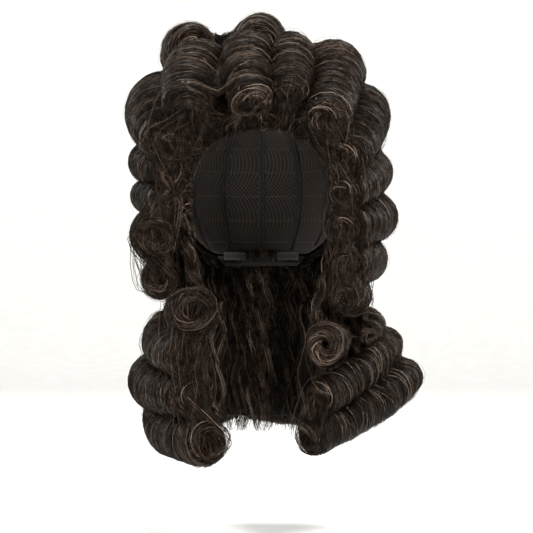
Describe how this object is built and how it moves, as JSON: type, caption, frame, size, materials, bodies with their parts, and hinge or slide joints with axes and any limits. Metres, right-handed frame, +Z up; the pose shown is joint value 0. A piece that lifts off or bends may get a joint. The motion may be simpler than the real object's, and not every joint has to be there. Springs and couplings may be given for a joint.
{
  "type": "costume wig",
  "caption": "Full-bottomed costume wig of dark brown barrel curls on a stretch-net cap, with hanging side and back falls, ear tabs and nape adjusters.",
  "frame": {"origin": "middle of the opening that the head goes into, at brow level", "axes": "+Z up, -Y the way the face looks, +X to the wearer's left"},
  "size_m": [0.2742, 0.2608, 0.4174],
  "materials": {
    "curled_fibre": "set synthetic fibre with a soft sheen",
    "base_fibre": "brushed synthetic fibre",
    "weft_binding": "stitched fibre weft",
    "elastic": "woven elastic",
    "stay_plastic": "moulded strip",
    "band_lace": "fine woven band",
    "cap_net": "stretch net"
  },
  "bodies": {
    "cap": {"front_band": "band_lace", "crown_net": "cap_net", "back_net": "cap_net", "cap_ribbons": "elastic", "weft_rows": "weft_binding", "nape_band": "elastic", "crown_base_hair": "base_fibre", "right_base_hair": "base_fibre", "left_base_hair": "base_fibre", "back_base_hair": "base_fibre", "right_crown_roll": "curled_fibre", "centre_crown_roll": "curled_fibre", "left_crown_inner_roll": "curled_fibre", "left_crown_roll": "curled_fibre", "right_crown_rear_roll": "curled_fibre", "centre_crown_rear_roll": "curled_fibre", "left_crown_rear_roll": "curled_fibre", "right_temple_roll": "curled_fibre", "left_temple_roll": "curled_fibre", "right_side_roll_1": "curled_fibre", "right_side_roll_2": "curled_fibre", "right_side_roll_3": "curled_fibre", "right_side_roll_4": "curled_fibre", "left_side_roll_1": "curled_fibre", "left_side_roll_2": "curled_fibre", "left_side_roll_3": "curled_fibre", "left_side_roll_4": "curled_fibre", "back_roll_1_right": "curled_fibre", "back_roll_1_left": "curled_fibre", "back_roll_2_right": "curled_fibre", "back_roll_2_left": "curled_fibre", "back_roll_3_right": "curled_fibre", "back_roll_3_left": "curled_fibre", "back_roll_4_right": "curled_fibre", "back_roll_4_left": "curled_fibre", "back_roll_5_right": "curled_fibre", "back_roll_5_left": "curled_fibre"},
    "right_fall": {"right_fall_hair": "base_fibre", "right_front_curl": "curled_fibre", "right_fall_roll_1": "curled_fibre", "right_fall_roll_2": "curled_fibre", "right_fall_roll_3": "curled_fibre"},
    "left_fall": {"left_fall_hair": "base_fibre", "left_front_curl": "curled_fibre", "left_fall_roll_1": "curled_fibre", "left_fall_roll_2": "curled_fibre", "left_fall_roll_3": "curled_fibre"},
    "back_fall": {"back_fall_hair": "base_fibre", "back_fall_roll_1_right": "curled_fibre", "back_fall_roll_1_left": "curled_fibre", "back_fall_roll_2_right": "curled_fibre", "back_fall_roll_2_left": "curled_fibre", "back_fall_roll_3_right": "curled_fibre", "back_fall_roll_3_left": "curled_fibre"},
    "right_tab": {"right_ear_tab": "band_lace", "right_tab_stay": "stay_plastic"},
    "left_tab": {"left_ear_tab": "band_lace", "left_tab_stay": "stay_plastic"},
    "right_strap": {"right_adjuster": "elastic"},
    "left_strap": {"left_adjuster": "elastic"}
  },
  "joints": [
    {"name": "right_fall_swing", "type": "hinge", "parent": "cap", "child": "right_fall", "pos_m": [-0.078, 0, -0.095], "axis": [0, 1, 0], "range_deg": [0, 25]},
    {"name": "left_fall_swing", "type": "hinge", "parent": "cap", "child": "left_fall", "pos_m": [0.078, 0, -0.095], "axis": [0, -1, 0], "range_deg": [0, 25]},
    {"name": "back_fall_lift", "type": "hinge", "parent": "cap", "child": "back_fall", "pos_m": [0, 0.085, -0.06], "axis": [1, 0, 0], "range_deg": [0, 20]},
    {"name": "right_tab_flex", "type": "hinge", "parent": "cap", "child": "right_tab", "pos_m": [-0.0705, -0.031, -0.0085], "axis": [0.303, -0.953, 0], "range_deg": [0, 25], "stiffness_Nm_per_rad": 0.01},
    {"name": "left_tab_flex", "type": "hinge", "parent": "cap", "child": "left_tab", "pos_m": [0.0705, -0.031, -0.0085], "axis": [0.303, 0.953, 0], "range_deg": [0, 25], "stiffness_Nm_per_rad": 0.01},
    {"name": "right_adjuster_slide", "type": "slide", "parent": "cap", "child": "right_strap", "axis": [-0.7071, -0.7071, 0], "range_m": [-0.004, 0.008]},
    {"name": "left_adjuster_slide", "type": "slide", "parent": "cap", "child": "left_strap", "axis": [0.7071, -0.7071, 0], "range_m": [-0.004, 0.008]}
  ]
}
